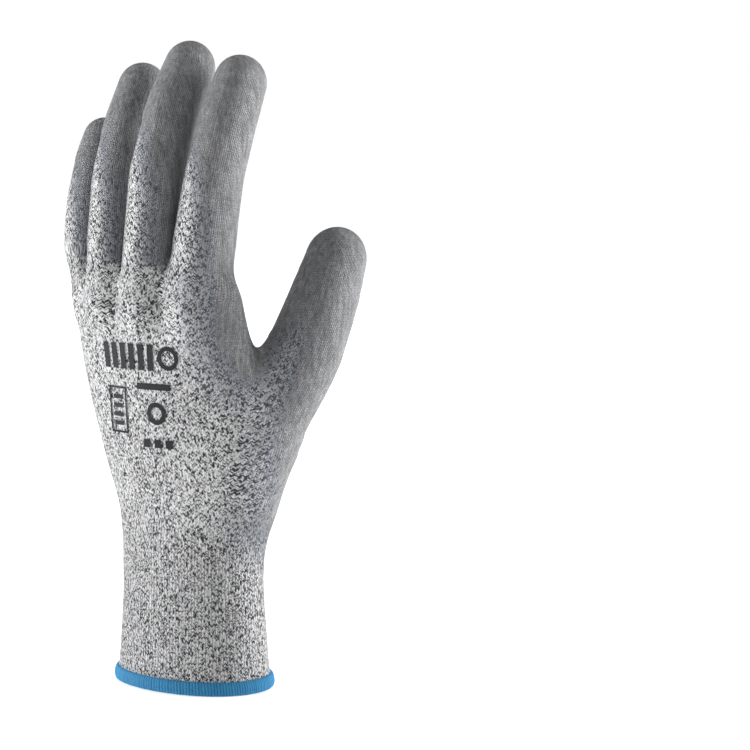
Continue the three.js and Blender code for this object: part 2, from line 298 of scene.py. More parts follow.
def creases(p):
    """Depth of the palm's creases and of the folds at the thumb's base."""
    x, y, z = p.T
    total = np.zeros(len(p))
    for line, depth, width in PALM_CREASES:
        gap = np.full(len(p), 99.0)
        for (x0, z0), (x1, z1) in zip(line, line[1:]):
            dx, dz = x1 - x0, z1 - z0
            t = np.clip(((x - x0) * dx + (z - z0) * dz) / (dx * dx + dz * dz), 0, 1)
            gap = np.minimum(gap, np.hypot(x - x0 - t * dx, z - z0 - t * dz))
        total += depth * np.exp(-(gap / width) ** 2)
    total *= smooth_step(y - section(z)[1], 0, 5)
    u = x - THUMB_HINGE[0] - THUMB_LEAN[0] * (z - THUMB_HINGE[2])
    v = y - THUMB_HINGE[1] - THUMB_LEAN[1] * (z - THUMB_HINGE[2])
    turn = np.degrees(np.arctan2(0.8 * v - 0.6 * u, -0.8 * u - 0.6 * v))
    on_thumb = smooth_step(turn, 0, 30) * smooth_step(-turn, -170, -140)
    on_thumb *= smooth_step(-np.hypot(u, v), -27, -21)
    for start, fall, depth in THUMB_FOLDS:
        gap = z - start + fall * turn
        fold = np.exp(-(gap / 1.1) ** 2) - 0.65 * np.exp(-((gap + 3.0) / 2.1) ** 2)
        total += depth * fold * on_thumb
    return total


def skin_gap(p):
    """Signed distance to the glove's skin, and each digit's own distance."""
    hand = hand_gap(p)
    gaps = {}
    fingers = np.full(len(p), 40.0)
    for name, digit in digits.items():
        low, high = digit.box()
        near = np.all((p > low) & (p < high), axis=1)
        gap = np.full(len(p), 40.0)
        gap[near] = digit.measure(p[near])[0]
        gaps[name] = gap
        if name != "thumb":
            fingers = np.minimum(fingers, gap)
    total = smooth_min(hand, fingers, FINGER_BLEND)
    total = smooth_min(total, gaps["thumb"], THUMB_BLEND)
    total += ripple(p, 4, 34.0, 0.22) * smooth_step(p[:, 2], 20, 70)
    near = (np.abs(total) < 4) & (p[:, 2] > 76) & (p[:, 2] < 162)
    total[near] += creases(p[near])
    return total, hand, gaps


axes = [np.arange(GRID_LOW[k], GRID_HIGH[k], GRID) for k in range(3)]
counts = [len(a) for a in axes]
grid_points = np.stack(np.meshgrid(*axes, indexing="ij"), -1).reshape(-1, 3)
field = np.empty(len(grid_points), np.float32)
for begin in range(0, len(grid_points), AT_ONCE):
    part = slice(begin, begin + AT_ONCE)
    field[part] = skin_gap(grid_points[part])[0]
field = field.reshape(counts)


def sample(values, p):
    """Trilinear value of a grid at points."""
    q = (p - GRID_LOW) / GRID
    i = np.clip(np.floor(q).astype(int), 0, np.array(counts) - 2)
    f = q - i
    out = 0
    for corner in range(8):
        o = np.array([corner & 1, corner >> 1 & 1, corner >> 2])
        w = np.prod(np.where(o, f, 1 - f), axis=1)
        j = i + o
        out = out + w * values[j[:, 0], j[:, 1], j[:, 2]]
    return out


def gradient_at(values, p, h=0.7):
    """Slope of a grid's values at points."""
    return np.stack([
        sample(values, p + d) - sample(values, p - d) for d in np.eye(3) * h
    ], 1) / (2 * h)


def net(values, low, step):
    """Closed quad mesh where the values change sign, with its faces turned outwards."""
    inside = values < 0
    corners = [np.array([c & 1, c >> 1 & 1, c >> 2]) for c in range(8)]
    n = np.array(values.shape) - 1
    total = np.zeros(n, np.uint8)
    for o in corners:
        total += inside[o[0]:o[0] + n[0], o[1]:o[1] + n[1], o[2]:o[2] + n[2]]
    cells = np.argwhere((total > 0) & (total < 8))
    index = np.full(n, -1, np.int64)
    index[cells[:, 0], cells[:, 1], cells[:, 2]] = np.arange(len(cells))
    value = [values[tuple((cells + o).T)] for o in corners]
    place, hits = np.zeros((len(cells), 3)), np.zeros(len(cells))
    for a in range(8):
        for bit in (1, 2, 4):
            b = a | bit
            if b == a:
                continue
            cross = (value[a] < 0) != (value[b] < 0)
            t = value[a] / np.where(cross, value[a] - value[b], 1)
            point = corners[a] + t[:, None] * (corners[b] - corners[a])
            place += np.where(cross[:, None], point, 0)
            hits += cross
    vertices = (cells + place / hits[:, None]) * step + low
    faces = []
    for axis in range(3):
        e = np.eye(3, dtype=int)[axis]
        size = np.array(values.shape) - e
        here = inside[:size[0], :size[1], :size[2]]
        there = inside[e[0]:, e[1]:, e[2]:]
        edges = np.argwhere(here != there)
        b, c = (axis + 1) % 3, (axis + 2) % 3
        ok = (edges[:, b] > 0) & (edges[:, c] > 0)
        ok &= (edges[:, b] < n[b]) & (edges[:, c] < n[c])
        edges = edges[ok]
        eb, ec = np.eye(3, dtype=int)[b], np.eye(3, dtype=int)[c]
        quad = np.stack([index[tuple((edges - d).T)] for d in (eb + ec, ec, 0 * e, eb)], 1)
        out = here[tuple(edges.T)]
        quad[~out] = quad[~out][:, ::-1]
        faces.append(quad)
    return vertices, np.concatenate(faces)


def relax(vertices, faces, values, rounds=4, level=0.0):
    """Even out the vertices and bring them back to the surface."""
    pairs = np.concatenate([faces[:, [k, (k + 1) % 4]] for k in range(4)])
    for _ in range(rounds):
        total = np.zeros_like(vertices)
        count = np.zeros(len(vertices))
        for a, b in ((0, 1), (1, 0)):
            for k in range(3):
                total[:, k] += np.bincount(pairs[:, a], vertices[pairs[:, b], k], len(vertices))
            count += np.bincount(pairs[:, a], minlength=len(vertices))
        vertices = vertices + 0.5 * (total / np.maximum(count, 1)[:, None] - vertices)
        slope = gradient_at(values, vertices)
        size = np.maximum((slope ** 2).sum(1), 0.2)
        vertices = vertices - ((sample(values, vertices) - level) / size)[:, None] * slope
    return vertices


skin, skin_faces = net(field, GRID_LOW, GRID)
skin = relax(skin, skin_faces, field)
skin_normals = gradient_at(field, skin)
skin_normals /= np.linalg.norm(skin_normals, axis=1)[:, None]


# ---------------------------------------------------------------- which part is which

_, hand_own, digit_own = skin_gap(skin)
names = list(digits)
fingers = names[:4]
finger_own = np.stack([digit_own[name] for name in fingers], 1)
thumb_own = digit_own["thumb"]
nearest_finger = finger_own.argmin(1)
by_finger = finger_own.min(1) < thumb_own
zone = np.full(len(skin), -1)
measured = {}
for k, name in enumerate(names):
    gap, along, offset = digits[name].measure(skin)
    measured[name] = (along, offset)
    # The cut to the palm lies a little below the crotches, where nothing bends yet.
    hinge, way = digits[name].joints[0]
    above_hinge = (skin - hinge) @ way
    if name == "thumb":
        mine = (gap < hand_own) & (gap < finger_own.min(1)) & (above_hinge > -4.2)
    else:
        mine = (nearest_finger == k) & by_finger & (above_hinge > -7.2)
        mine &= skin[:, 2] > FINGERS_FROM
    zone[mine] = k


# ---------------------------------------------------------------- knit coordinates

def ellipse_share(angle, ratio):
    """Share of an ellipse's outline up to an angle of its parameter, for its side ratio."""
    t = np.linspace(-np.pi, np.pi, 361)
    ratios = np.linspace(1, 4, 25)
    shares = []
    for r in ratios:
        speed = np.sqrt((r * np.cos(t)) ** 2 + np.sin(t) ** 2)
        run = np.concatenate([[0], np.cumsum((speed[1:] + speed[:-1]) / 2)])
        shares.append(run / run[-1] - 0.5)
    shares = np.array(shares)
    i = np.clip((ratio - 1) / 3 * 24, 0, 23.999)
    j = (angle + np.pi) / (2 * np.pi) * 360
    i0, j0 = i.astype(int), np.clip(j.astype(int), 0, 359)
    fi, fj = i - i0, j - j0
    rounder = shares[i0, j0] * (1 - fj) + shares[i0, j0 + 1] * fj
    flatter = shares[i0 + 1, j0] * (1 - fj) + shares[i0 + 1, j0 + 1] * fj
    return rounder * (1 - fi) + flatter * fi


def hand_knit(p):
    """Wale and course of points on the hand."""
    cx, cy, a, b = section(p[:, 2])
    angle = np.arctan2((p[:, 0] - cx) / a, -(p[:, 1] - cy) / b)
    return ellipse_share(angle, a / b) * WALES_ROUND_HAND, p[:, 2] / COURSE


def digit_turn(name, offset):
    """Angle round a digit from the middle of its back towards its across direction."""
    across = digits[name].across
    along = digits[name].joints[0][1]
    inward = np.cross(along, across)
    return np.arctan2(offset @ across, -(offset @ inward))


def corner_knit(faces, u, v, period):
    """Knit coordinates of the corners of faces, unbroken across the seam of the count."""
    corner = u[faces]
    corner = corner - np.round((corner - corner[:, :1]) / period) * period
    return np.stack([corner, v[faces]], -1)


weave = np.where((skin[:, 2] > FINGERS_FROM + 1) & by_finger, nearest_finger, -1)
weave[(thumb_own < hand_own) & (skin[:, 2] > 62) & (weave < 0)] = names.index("thumb")
weave_of_face = weave[skin_faces].max(1)
skin_knit = corner_knit(skin_faces, *hand_knit(skin), WALES_ROUND_HAND)
for k, name in enumerate(names):
    wales = WALES_ROUND_THUMB if name == "thumb" else WALES_ROUND_FINGER
    along, offset = measured[name]
    u = digit_turn(name, offset) / (2 * np.pi) * wales
    v = skin[:, 2]
    if name != "thumb":
        hinge_z = digits[name].joints[0][0][2]
        v = v + (hinge_z + along - v) * smooth_step(v, hinge_z - 14, hinge_z + 4)
    mine = weave_of_face == k
    skin_knit[mine] = corner_knit(skin_faces[mine], u, v / COURSE, wales)


# ---------------------------------------------------------------- where the dip reaches

# The camera stands 37 degrees round from the back to the thumb side, a little above level.
AZIMUTH = 37
QUARTER = np.radians(AZIMUTH)
LEVEL, RAISED = 0.9945, 0.1045  # cosine and sine of 6 degrees
LOOK = np.array([np.sin(QUARTER) * LEVEL, -np.cos(QUARTER) * LEVEL, RAISED])
ACROSS = np.array([np.cos(QUARTER), np.sin(QUARTER), 0])
UPWARD = np.cross(LOOK, ACROSS)
ASIDE = 70.5  # from the wrist's axis to the middle of the picture
MIDDLE = ACROSS * ASIDE + np.array([0, 0, 119.7])
CAMERA_AWAY = 1000.0


def quarter_view(p):
    """Across and up of points as the camera sees them."""
    rel = p - MIDDLE
    nearer = 1 - (rel @ LOOK) / CAMERA_AWAY
    return rel @ ACROSS / nearer, rel @ UPWARD / nearer


# The dip's outline on the thumb side of the back in that view, in millimetres.
DIP_OUTLINE = np.array([
    (6.9, 190), (7.0, 169), (7.2, 159.5), (9.6, 145), (8.9, 136.4), (11.2, 128),
    (15.4, 121), (20.4, 116.4), (25, 117.5), (28.1, 121.8), (32, 128), (35, 132.6),
    (38.5, 136.5), (42, 138), (43.8, 132.2), (36.1, 109), (32.8, 87), (30.5, 69.4),
    (27, 59), (90, 55), (90, 190),
])


def outline_gap(u, v, outline):
    """Signed distance to a closed outline, positive inside it."""
    best = np.full(len(u), 1e9)
    crossings = np.zeros(len(u), int)
    for (x0, y0), (x1, y1) in zip(outline, np.roll(outline, -1, axis=0)):
        dx, dy = x1 - x0, y1 - y0
        t = np.clip(((u - x0) * dx + (v - y0) * dy) / (dx * dx + dy * dy), 0, 1)
        best = np.minimum(best, np.hypot(u - x0 - t * dx, v - y0 - t * dy))
        if dy:
            spans = (y0 > v) != (y1 > v)
            crossings += spans & (u < (v - y0) / dy * dx + x0)
    return np.where(crossings % 2 == 1, best, -best)


across_view, up_view = quarter_view(skin)
dip = outline_gap(across_view + ASIDE, up_view + MIDDLE @ UPWARD, DIP_OUTLINE)

# The palm side: the lower edge rises towards the little finger's side.
low_edge = np.interp(skin[:, 0], [-46, -39, -32, -20, 0, 3, 20, 30, 34],
                     [95, 85, 77, 64, 54.5, 54.5, 56, 62, 68])
side_edge = np.interp(skin[:, 2], [88, 106, 130, 150], [3, 0, -1.5, -2])
side_edge -= smooth_step(skin[:, 0], -25, 10) * 16
from_middle = skin[:, 1] - section(skin[:, 2])[1]
palm_dip = np.minimum((skin[:, 2] - low_edge) * 0.8, (from_middle - side_edge) * 0.9)
facing = skin_normals @ LOOK
away = smooth_step(-facing, -0.12, 0.12)
between_fingers = smooth_step(from_middle, -2, 3) * smooth_step(skin[:, 2], 150, 156)
away = np.maximum(away, between_fingers)
dip = dip * (1 - away) + palm_dip * away
fuzz = 2.4 * (1 - away) + 0.5 * away
fuzz += away * smooth_step(-skin[:, 0], 26, 40) * smooth_step(skin[:, 2], 92, 108) * 1.6

# On the back of each finger the knit narrows to a point under the dipped tip.
for k, name in enumerate(fingers):
    z = skin[:, 2]
    from_apex = z - DIGITS[name]["apex"]
    angle = np.degrees(digit_turn(name, measured[name][1]))
    right = np.interp(from_apex, [-45, -36, -28, -21, -11, -5, 0, 4],
                      [52, 48, 42, 33, 17, 1, -35, -60])
    left = np.interp(from_apex, [-14, 0, 4], [DIGITS[name]["knit_to"], -50, -45])
    arc = np.radians(1) * DIGITS[name]["radii"][0]
    own_dip = np.maximum.reduce([(angle - right) * arc, (left - angle) * arc, from_apex])
    # Knit further from the dip is darkened less than on the hand.
    own_dip = np.where(own_dip < -4, own_dip * 3.2 + 8.8, own_dip)
    mine = (nearest_finger == k) & by_finger
    share = smooth_step(z, 159, 166) * mine
    dip = dip * (1 - share) + np.clip(own_dip, -30, 30) * share
    fuzz = fuzz * (1 - share) + 2.6 * share
# Nothing changes further than this from the dip's edge.
dip = np.clip(dip, -20, 12)


# ---------------------------------------------------------------- meshes

def mesh_object(name, vertices, faces, normals=None, knit=None, values=()):
    """A mesh of quads in metres that keeps its rest place for the patterns on it."""
    used, faces = np.unique(faces, return_inverse=True)
    faces = faces.reshape(-1, 4)
    mesh = bpy.data.meshes.new(name)
    mesh.vertices.add(len(used))
    mesh.vertices.foreach_set("co", (vertices[used] * MM).ravel())
    mesh.loops.add(faces.size)
    mesh.loops.foreach_set("vertex_index", faces.ravel())
    mesh.polygons.add(len(faces))
    mesh.polygons.foreach_set("loop_start", np.arange(0, faces.size, 4))
    mesh.update(calc_edges=True)
    mesh.validate()
    mesh.polygons.foreach_set("use_smooth", np.ones(len(mesh.polygons), bool))
    if knit is not None:
        mesh.uv_layers.new(name="knit").data.foreach_set("uv", knit.ravel())
    rest = mesh.attributes.new("rest", "FLOAT_VECTOR", "POINT")
    rest.data.foreach_set("vector", vertices[used].astype(np.float32).ravel())
    for label, value in values:
        layer = mesh.attributes.new(label, "FLOAT", "POINT")
        layer.data.foreach_set("value", value[used].astype(np.float32))
    if normals is not None:
        mesh.normals_split_custom_set_from_vertices(normals[used])
    made = bpy.data.objects.new(name, mesh)
    bpy.context.scene.collection.objects.link(made)
    return made


def skin_piece(name, chosen, vertices, material):
    """The chosen faces of the skin as a piece of their own."""
    piece = mesh_object(name, vertices, skin_faces[chosen], skin_normals, skin_knit[chosen],
                        (("dip", dip), ("fuzz", fuzz)))
    piece.data.materials.append(material)
    return piece


# ---------------------------------------------------------------- materials

class Nodes:
    """Builds a material's nodes from calls."""

    def __init__(self, name):
        self.material = bpy.data.materials.new(name)
        self.material.use_nodes = True
        self.tree = self.material.node_tree
        self.shader = self.tree.nodes["Principled BSDF"]

    def add(self, kind, inputs=(), **settings):
        node = self.tree.nodes.new(kind)
        for key, value in settings.items():
            setattr(node, key, value)
        for key, value in dict(inputs).items():
            if isinstance(value, bpy.types.NodeSocket):
                self.tree.links.new(value, node.inputs[key])
            else:
                node.inputs[key].default_value = value
        return node

    def math(self, operation, *values, clamp=False):
        node = self.add("ShaderNodeMath", enumerate(values), operation=operation)
        node.use_clamp = clamp
        return node.outputs[0]

    def ramp(self, value, low, high, to_low=0.0, to_high=1.0):
        node = self.add("ShaderNodeMapRange", {
            "Value": value, "From Min": low, "From Max": high,
            "To Min": to_low, "To Max": to_high})
        return node.outputs["Result"]

    def mix(self, share, a, b):
        return self.add("ShaderNodeMix", {0: share, 6: a, 7: b}, data_type="RGBA").outputs[2]

    def noise(self, where, scale, detail):
        node = self.add("ShaderNodeTexNoise", {"Vector": where, "Scale": scale, "Detail": detail})
        return node.outputs[0]

    def attribute(self, name, output="Fac"):
        return self.add("ShaderNodeAttribute", attribute_name=name).outputs[output]

    def link(self, socket, name):
        self.tree.links.new(socket, self.shader.inputs[name])

    def bump(self, height, strength, distance):
        node = self.add("ShaderNodeBump", {
            "Height": height, "Strength": strength, "Distance": distance})
        self.link(node.outputs[0], "Normal")


def grey(value, blue=0.0):
    """A grey that leans to blue by a share."""
    return (value * (1 - 0.5 * blue), value, value * (1 + blue), 1)


def stitches(n):
    """Knit stitches: the wale, a height, and random values for half legs and for legs."""
    uv = n.add("ShaderNodeUVMap", uv_map="knit").outputs[0]
    split = n.add("ShaderNodeSeparateXYZ", {0: uv})
    u, v = split.outputs[0], split.outputs[1]
    from_middle = n.math("ABSOLUTE", n.math("SUBTRACT", n.math("FRACT", u), 0.5))
    slanted = n.math("ADD", v, n.math("MULTIPLY", from_middle, 1.5))
    leg = n.math("FLOOR", n.math("MULTIPLY", u, 2.0))
    row = n.math("FLOOR", slanted)
    across = n.math("SUBTRACT", n.math("FRACT", n.math("MULTIPLY", u, 2.0)), 0.5)
    along = n.math("SUBTRACT", n.math("FRACT", slanted), 0.5)
    across_squared = n.math("MULTIPLY", across, across)
    along_squared = n.math("MULTIPLY", along, along)
    round_across = n.math("SUBTRACT", 1.0, n.math("MULTIPLY", across_squared, 3.6))
    round_along = n.math("SUBTRACT", 1.0, n.math("MULTIPLY", along_squared, 3.4))
    height = n.math("MULTIPLY", round_across, round_along, clamp=True)
    cell = n.add("ShaderNodeCombineXYZ", {0: leg, 1: row, 2: 0.0}).outputs[0]
    chances = n.add("ShaderNodeTexWhiteNoise", {"Vector": cell}, noise_dimensions="3D")
    half_row = n.math("FLOOR", n.math("MULTIPLY", slanted, 2.0))
    half_cell = n.add("ShaderNodeCombineXYZ", {0: leg, 1: half_row, 2: 1.0}).outputs[0]
    chance = n.add("ShaderNodeTexWhiteNoise", {"Vector": half_cell}, noise_dimensions="3D")
    return u, height, chance.outputs["Value"], chances.outputs["Color"]


def melange(n, rest, wale, height, chance, tone_chance):
    """Yarn in which some legs of the stitches, and short flecks of others, are black, with
    painted shade between the stitches and between the cuff's ribs.
    """
    rise = n.add("ShaderNodeSeparateXYZ", {0: rest}).outputs[2]
    on_cuff = n.ramp(rise, 74.0, 58.0)
    fleck = n.noise(rest, 3.0, 1.5)
    patch = n.noise(rest, 0.22, 1.0)
    dark = n.math("ADD", n.math("MULTIPLY", chance, 0.62), n.math("MULTIPLY", fleck, 0.85))
    dark = n.math("ADD", dark, n.math("MULTIPLY", n.math("SUBTRACT", patch, 0.5), 0.1))
    dark = n.ramp(dark, FLECK_AT - 0.04, FLECK_AT + 0.04, 1.0, 0.0)
    tone = n.ramp(tone_chance, 0.0, 1.0, YARN_TONE * 0.82, YARN_TONE * 1.2)
    light = n.add("ShaderNodeCombineColor", {
        0: tone,
        1: n.math("MULTIPLY", tone, 1.005),
        2: n.math("MULTIPLY", tone, 1.012)}).outputs[0]
    knit = n.mix(dark, light, grey(0.018, 0.1))
    # Painted shade: the knit's colour is darkened where the stitches sink between each other.
    shade = n.ramp(height, 0.0, 0.55, 0.45, 1.0)
    knit = n.mix(shade, n.mix(0.7, knit, grey(0.015)), knit)
    # The cuff's wales stand as ribs, with a painted shadow between them.
    in_rib = n.math("SUBTRACT", n.math("FRACT", n.math("ADD", wale, 0.5)), 0.5)
    rib = n.ramp(n.math("ABSOLUTE", in_rib), 0.04, 0.24)
    rib_gap_shade = n.math("MULTIPLY", n.math("SUBTRACT", 1.0, rib), n.math("MULTIPLY", on_cuff, 0.5))
    return n.mix(rib_gap_shade, knit, grey(0.05))


def dip_reach(n, rest, edge_chance):
    """How far the dip covers a stitch, with a ragged edge, and how much the knit beside it is
    darkened.
    """
    reach = n.attribute("dip")
    fuzz = n.attribute("fuzz")
    spread = n.math("MULTIPLY", n.math("SUBTRACT", edge_chance, 0.5), fuzz)
    spread = n.math("MULTIPLY", spread, 2.6)
    slow = n.noise(rest, 0.16, 2.0)
    slow = n.math("MULTIPLY", n.math("SUBTRACT", slow, 0.5), n.math("MULTIPLY", fuzz, 1.6))
    covered = n.math("ADD", n.math("ADD", reach, spread), slow)
    covered = n.ramp(covered, -0.9, 0.9)
    near_dip_darkening = n.math("MULTIPLY", n.ramp(reach, -18.0, 0.0), n.ramp(fuzz, 0.5, 2.4))
    return covered, near_dip_darkening


def dip_coat(n, rest, height):
    """The dip's colour, mottled, grained and streaked along the glove, with painted shade over
    the stitches' hollows, and its grain.
    """
    mottle = n.noise(rest, 0.09, 4.0)
    grain = n.noise(rest, 1.1, 3.0)
    drawn = n.add("ShaderNodeVectorMath", {0: rest, 1: (1.0, 1.0, 0.16)}, operation="MULTIPLY")
    streak = n.noise(drawn.outputs[0], 0.75, 3.0)
    value = n.math("MULTIPLY", n.ramp(mottle, 0.3, 0.7, 0.9, 1.1),
                   n.ramp(grain, 0.25, 0.75, 0.62, 1.34))
    value = n.math("MULTIPLY", value, n.ramp(streak, 0.3, 0.7, 0.66, 1.3))
    # Painted shade: the dip is darker over the hollows between the stitches under it than over
    # their tops.
    value = n.math("MULTIPLY", value, n.ramp(height, 0.0, 0.7, 0.48, 1.18))
    value = n.math("MULTIPLY", value, COAT_TONE)
    coat = n.add("ShaderNodeCombineColor", {
        0: n.math("MULTIPLY", value, 0.985),
        1: value,
        2: n.math("MULTIPLY", value, 1.03)}).outputs[0]
    return coat, grain


def surface_material(name):
    """Melange knit where the dip doesn't reach, and the dip over it where it does."""
    n = Nodes(name)
    wale, height, chance, leg_colour = stitches(n)
    leg_chances = n.add("ShaderNodeSeparateColor", {0: leg_colour}).outputs
    rest = n.attribute("rest", "Vector")
    knit = melange(n, rest, wale, height, chance, leg_chances[1])
    covered, near_dip_darkening = dip_reach(n, rest, leg_chances[0])
    # The first stitches beside the dip are darkened and turned a little blue.
    knit = n.mix(n.math("MULTIPLY", near_dip_darkening, 0.7), knit, grey(0.11, 0.3))
    coat, grain = dip_coat(n, rest, height)
    n.link(n.mix(covered, knit, coat), "Base Color")
    n.link(n.ramp(covered, 0.0, 1.0, 0.95, 0.55), "Roughness")
    n.shader.inputs["Specular IOR Level"].default_value = 0.35
    depth = n.math("ADD", n.math("MULTIPLY", height, n.ramp(covered, 0.0, 1.0, 1.0, 0.75)),
                   n.math("MULTIPLY", grain, 0.3))
    n.bump(depth, 0.9, 0.0005)
    return n.material


knit_material = surface_material("knit")
coat_material = surface_material("coating")


def hem_thread():
    """Blue thread, with painted shade darkening the grooves between its turns."""
    n = Nodes("hem")
    groove = n.attribute("thread")
    noise = n.noise(n.attribute("rest", "Vector"), 2.6, 3.0)
    colour = n.mix(n.ramp(noise, 0.3, 0.7), (0.015, 0.145, 0.3, 1), (0.04, 0.26, 0.47, 1))
    # Painted shade: the thread's colour turns dark blue where it sinks into the grooves between
    # turns.
    n.link(n.mix(n.ramp(groove, 0.15, 0.75), (0.008, 0.07, 0.2, 1), colour), "Base Color")
    n.shader.inputs["Roughness"].default_value = 0.75
    n.shader.inputs["Specular IOR Level"].default_value = 0.3
    n.bump(noise, 0.6, 0.0002)
    return n.material


hem_material = hem_thread()


def ink(name, colour):
    """Matt printed ink with a little unevenness."""
    n = Nodes(name)
    where = n.add("ShaderNodeTexCoord").outputs["Object"]
    noise = n.noise(where, 1500.0, 4.0)
    tone = n.ramp(noise, 0.25, 0.75, 0.72, 1.2)
    n.link(n.mix(tone, (0, 0, 0, 1), colour), "Base Color")
    n.shader.inputs["Roughness"].default_value = 0.7
    n.shader.inputs["Specular IOR Level"].default_value = 0.15
    n.bump(noise, 0.5, 0.0001)
    return n.material


print_material = ink("print", (0.016, 0.017, 0.02, 1))


# ---------------------------------------------------------------- pieces

centre_of_face = skin[skin_faces].mean(1)
face_zone = zone[skin_faces].max(1)
above_hem = skin[skin_faces][:, :, 2].min(1) > KNIT_BOTTOM
lifted = skin + skin_normals * np.clip(0.12 * dip + 0.06, -0.3, LIFT)[:, None]
dipped_face = dip[skin_faces].max(1) > -1.0


def add_piece(name, chosen, nodes, coat_nodes):
    """The knit of a stretch of the glove and the dip over it."""
    for suffix, mask, where, material, slot, hidden in (
        ("knit", chosen, skin, knit_material, "knit", nodes),
        ("dip", chosen & dipped_face, lifted, coat_material, "coating", coat_nodes),
    ):
        if not mask.any():
            continue
        piece = skin_piece(f"{name}_{suffix}", mask, where, material)
        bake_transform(piece)
        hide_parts(*hidden)


add_piece(
    "hand", (face_zone < 0) & above_hem,
    ["knitted_cuff", "wrist_bend_sleeve", "palm_and_back_liner"], ["palm_coating"])

for k, name in enumerate(names):
    mine = face_zone == k
    joints = digits[name].joints
    thumb = name == "thumb"
    parts = ["base", "tip"] if thumb else ["base", "middle", "tip"]
    lengths = THUMB_LENGTHS if thumb else DIGITS[name]["lengths"]
    for i, part_name in enumerate(parts):
        # Each stretch ends between two hinges.
        hinge, way = joints[i]
        last = i == len(parts) - 1
        inside = mine.copy()
        if i:
            last_hinge, last_way = joints[i - 1]
            inside &= (centre_of_face - last_hinge) @ last_way >= cut
        cut = lengths[i] * 0.5 + (BASE_EXTRA if i == 0 else 0)
        if not last:
            inside &= (centre_of_face - hinge) @ way < cut
        add_piece(f"{name}_{part_name}", inside,
                  [f"{name}_{part_name}_bend_sleeve", f"{name}_{part_name}_stall"],
                  [f"{name}_{part_name}_coating"])

# The inside of the knit, seen through the wrist opening.
inner_field = field[::2, ::2, ::2] + LINING
inner, inner_faces = net(inner_field, GRID_LOW, GRID * 2)
inner = relax(inner, inner_faces, field, 2, -LINING)
heights = inner[inner_faces][:, :, 2]
in_hand = (heights.min(1) > LINING_BOTTOM) & (heights.max(1) < LINING_TOP)
inner_faces = inner_faces[in_hand][:, ::-1]
lining = mesh_object(
    "lining", inner, inner_faces, None,
    corner_knit(inner_faces, *hand_knit(inner), WALES_ROUND_HAND),
    (("dip", np.full(len(inner), -12.0)), ("fuzz", np.zeros(len(inner)))))
lining.data.materials.append(knit_material)
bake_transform(lining)


def grid_faces(rows, columns, closed_rows=False, closed_columns=False):
    """Quads between the places of a grid of points."""
    i = np.arange(rows if closed_rows else rows - 1)
    j = np.arange(columns if closed_columns else columns - 1)
    i, j = np.meshgrid(i, j, indexing="ij")
    i, j = i.ravel(), j.ravel()
    i2, j2 = (i + 1) % rows, (j + 1) % columns
    return np.stack([i * columns + j, i2 * columns + j, i2 * columns + j2, i * columns + j2], 1)


# ---------------------------------------------------------------- the hem

def overlocked_hem():
    """Thread wrapped over the edge of the cuff, turn beside turn."""
    ring = np.linspace(0, 2 * np.pi, HEM_TURNS * HEM_STEPS, endpoint=False)
    loop = np.linspace(0, 2 * np.pi, HEM_LOOP, endpoint=False)
    ring_grid, loop_grid = np.meshgrid(ring, loop, indexing="ij")
    up, out = np.sin(loop_grid), np.cos(loop_grid)
    rise = HEM_HEIGHT / 2 + np.sign(up) * np.abs(up) ** 0.8 * (HEM_HEIGHT / 2 - 0.25)
    reach = np.sign(out) * np.abs(out) ** 0.7 * 1.15 - 0.1
    phase = ring_grid * HEM_TURNS / 2 + 0.16 * rise
    thread = np.abs(np.sin(phase)) ** 0.6
    # Each turn has its own thickness, from a sine of its number.
    number = np.floor(phase / np.pi)
    wobble = np.sin(number * 12.9898) * 43758.5453
    wobble = wobble - np.floor(wobble) - 0.5
    swell = 0.34 * thread + 0.12 * wobble
    cx, cy, a, b = section(rise)
    reach = reach + out * swell
    rise = rise + up * swell * 0.5 + 0.12 * np.sin(3 * ring_grid + 0.6)
    points = np.stack([cx + (a + reach) * np.cos(ring_grid),
                       cy + (b + reach) * np.sin(ring_grid), np.maximum(rise, 0.02)], -1)
    made = mesh_object("hem", points.reshape(-1, 3), grid_faces(len(ring), HEM_LOOP, True, True),
                       values=(("thread", thread.ravel()),))
    made.data.materials.append(hem_material)
    return made


hem = overlocked_hem()
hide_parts("overlocked_hem")
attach(hem, "cuff")


# ---------------------------------------------------------------- the printed marks

def on_back(x, z):
    """Points on the back of the hand at these places, with the skin's direction there."""
    shape = np.shape(x)
    x, z = np.ravel(x), np.ravel(z)
    outside, inside_by, halvings = -34.0, 2.0, 34
    low, high = np.full(len(x), outside), section(z)[1] - inside_by
    for _ in range(halvings):
        mid = (low + high) / 2
        inside = sample(field, np.stack([x, mid, z], 1)) < 0
        high, low = np.where(inside, mid, high), np.where(inside, low, mid)
    p = np.stack([x, low, z], 1)
    way = gradient_at(field, p)
    return p, way / np.linalg.norm(way, axis=1)[:, None], shape


def printed(name, patches):
    """Patches of ink that lie on the back of the hand."""
    points, faces, total = [], [], 0
    for x, z, closed in patches:
        p, way, shape = on_back(x, z)
        points.append(p + way * PRINT_LIFT)
        faces.append(grid_faces(shape[0], shape[1], closed_rows=closed) + total)
        total += len(p)
    made = mesh_object(name, np.concatenate(points), np.concatenate(faces))
    made.data.materials.append(print_material)
    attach(made, "palm")
    return made


def bar(x0, z0, x1, z1):
    """A filled bar between two corners."""
    nx = max(2, int(abs(x1 - x0) / PRINT_STEP) + 1)
    nz = max(2, int(abs(z1 - z0) / PRINT_STEP) + 1)
    x, z = np.meshgrid(np.linspace(x0, x1, nx), np.linspace(z0, z1, nz), indexing="ij")
    return x, z, False


def hoop(x, z, outer, inner):
    """A ring round a centre."""
    angle, radius = np.meshgrid(np.linspace(0, 2 * np.pi, 48, endpoint=False),
                                np.linspace(inner, outer, 4), indexing="ij")
    return x + radius * np.cos(angle), z + radius * np.sin(angle), True


def frame_of(x0, z0, x1, z1, t):
    """Four bars of a thickness round a box."""
    return [bar(x0, z0, x1, z0 + t), bar(x0, z1 - t, x1, z1),
            bar(x0, z0 + t, x0 + t, z1 - t), bar(x1 - t, z0 + t, x1, z1 - t)]


